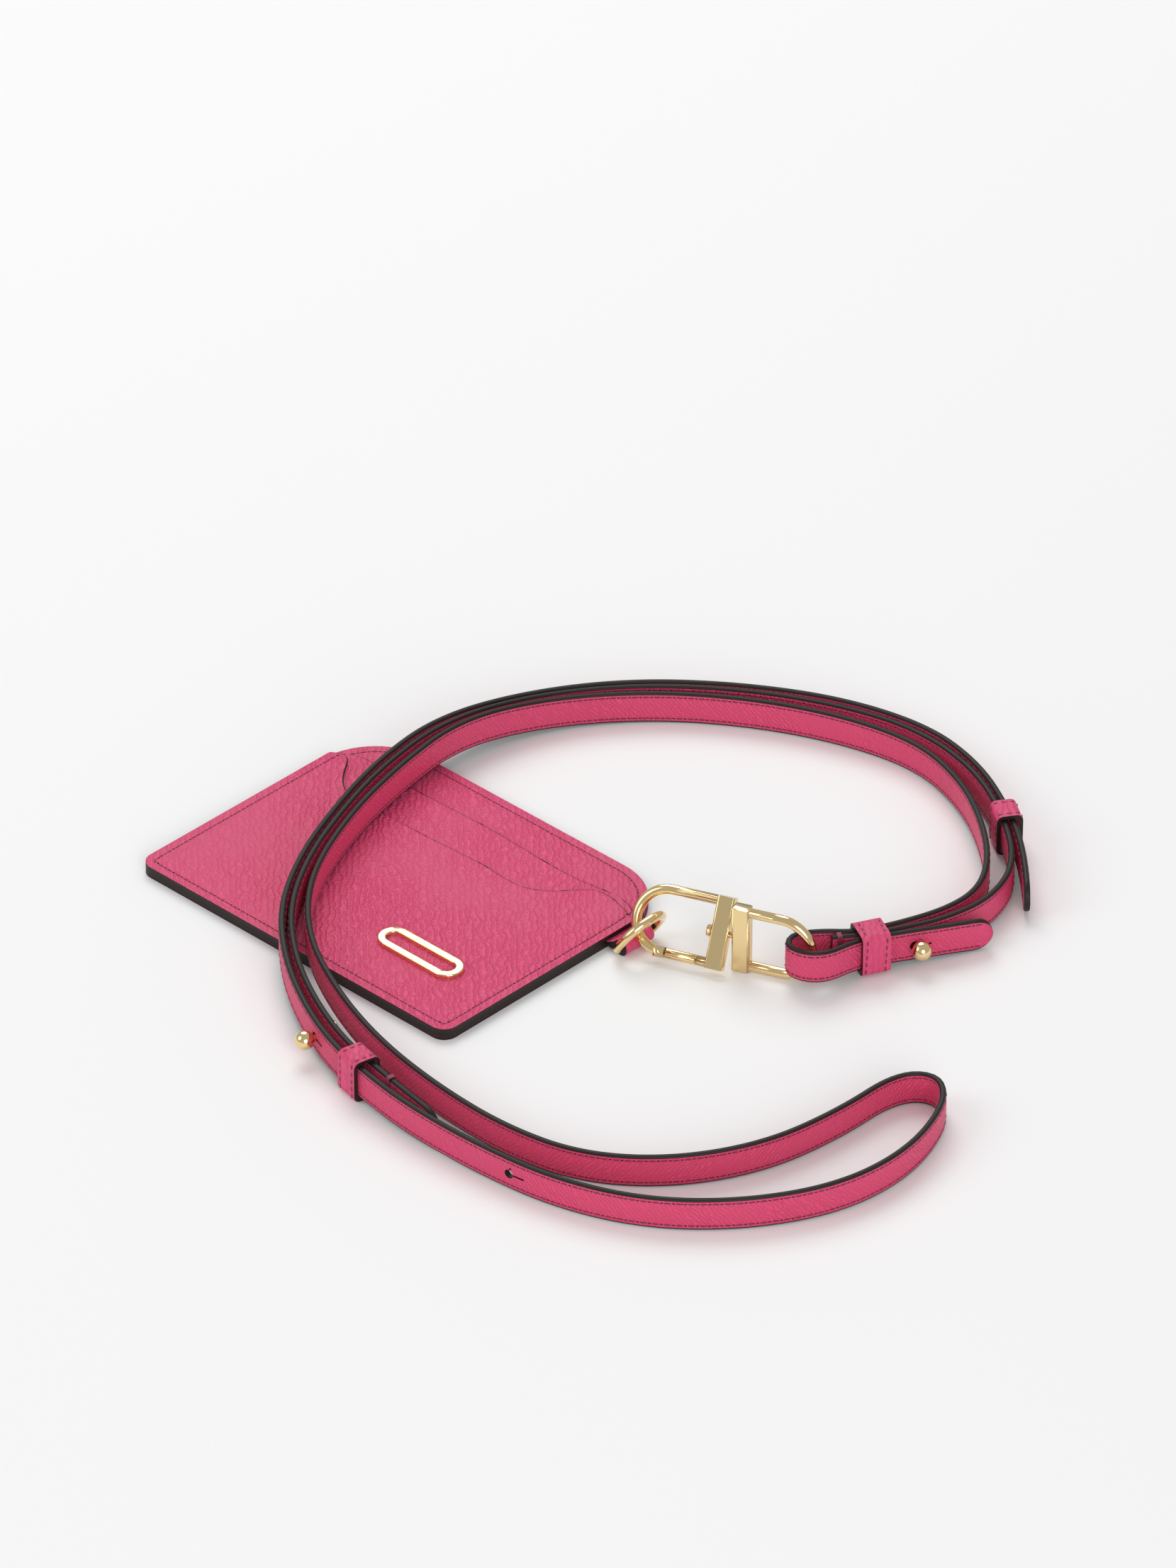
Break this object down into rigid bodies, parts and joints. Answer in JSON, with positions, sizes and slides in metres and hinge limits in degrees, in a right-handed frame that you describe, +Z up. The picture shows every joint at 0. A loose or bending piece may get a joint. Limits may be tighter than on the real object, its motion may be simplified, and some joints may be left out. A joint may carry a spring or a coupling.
{
  "type": "wristlet wallet",
  "caption": "Flat pink leather card wallet with an end tab, a snap hook clasp and a long strap that buttons over ball studs to form a wrist loop.",
  "frame": {"origin": "centre of the wallet's footprint, on the table it lies on", "axes": "+X along the wallet's long side towards the tab, +Y towards the mouth of the card slots, +Z up out of the front face"},
  "size_m": [0.2285, 0.2114, 0.0188],
  "materials": {
    "leather": "satin",
    "lining": "matte",
    "gold": "polished",
    "thread": "matte"
  },
  "bodies": {
    "wallet": {"back_panel": "leather", "pocket_divider": "leather", "base_panel": "leather", "upper_slot_panel": "leather", "lower_slot_panel": "leather", "tab": "leather", "strap_long": "leather", "strap_short": "leather", "back_lining": "lining", "front_lining": "lining", "emblem": "gold", "emblem_prong_left": "gold", "emblem_prong_right": "gold", "stud_clasp_base": "gold", "stud_clasp_ball": "gold", "stud_wrist_base": "gold", "stud_wrist_ball": "gold", "thread_tie_clasp": "thread", "thread_tie_wrist": "thread"},
    "tab_ring": {"tab_ring": "gold"},
    "eye": {"clasp_eye": "gold", "swivel_pin": "gold"},
    "hook": {"hook_body": "gold", "gate_pin": "gold"},
    "gate": {"gate": "gold"},
    "keeper_clasp": {"keeper_clasp": "leather"},
    "keeper_tip": {"keeper_tip": "leather"},
    "keeper_wrist": {"keeper_wrist": "leather"}
  },
  "joints": [
    {"name": "ring_swing", "type": "hinge", "parent": "wallet", "child": "tab_ring", "pos_m": [0.0589, 0.0205, 0.00221], "axis": [0, 1, 0], "range_deg": [-4, 4]},
    {"name": "clasp_swing", "type": "hinge", "parent": "wallet", "child": "eye", "pos_m": [0.10188, 0.03935, 0.00945], "axis": [0, 0, 1], "range_deg": [-2, 2]},
    {"name": "hook_swivel", "type": "hinge", "parent": "eye", "child": "hook", "pos_m": [0.0822, 0.0312, 0.00945], "axis": [0.9239, 0.3827, 0], "range_deg": [-6, 6]},
    {"name": "gate_hinge", "type": "hinge", "parent": "hook", "child": "gate", "pos_m": [0.06755, 0.02057, 0.00271], "axis": [0.3245, -0.7835, 0.5299], "range_deg": [0, 26], "stiffness_Nm_per_rad": 0.004, "springref_deg": -11.46},
    {"name": "keeper_clasp_slide", "type": "slide", "parent": "wallet", "child": "keeper_clasp", "axis": [0.4617, 0.887, 0], "range_m": [-0.0008, 0.0008]},
    {"name": "keeper_tip_slide", "type": "slide", "parent": "wallet", "child": "keeper_tip", "axis": [-0.8368, 0.5476, 0], "range_m": [-0.0015, 0.0015]},
    {"name": "keeper_wrist_slide", "type": "slide", "parent": "wallet", "child": "keeper_wrist", "axis": [0.9816, -0.1908, 0], "range_m": [-0.0015, 0.0015]}
  ]
}
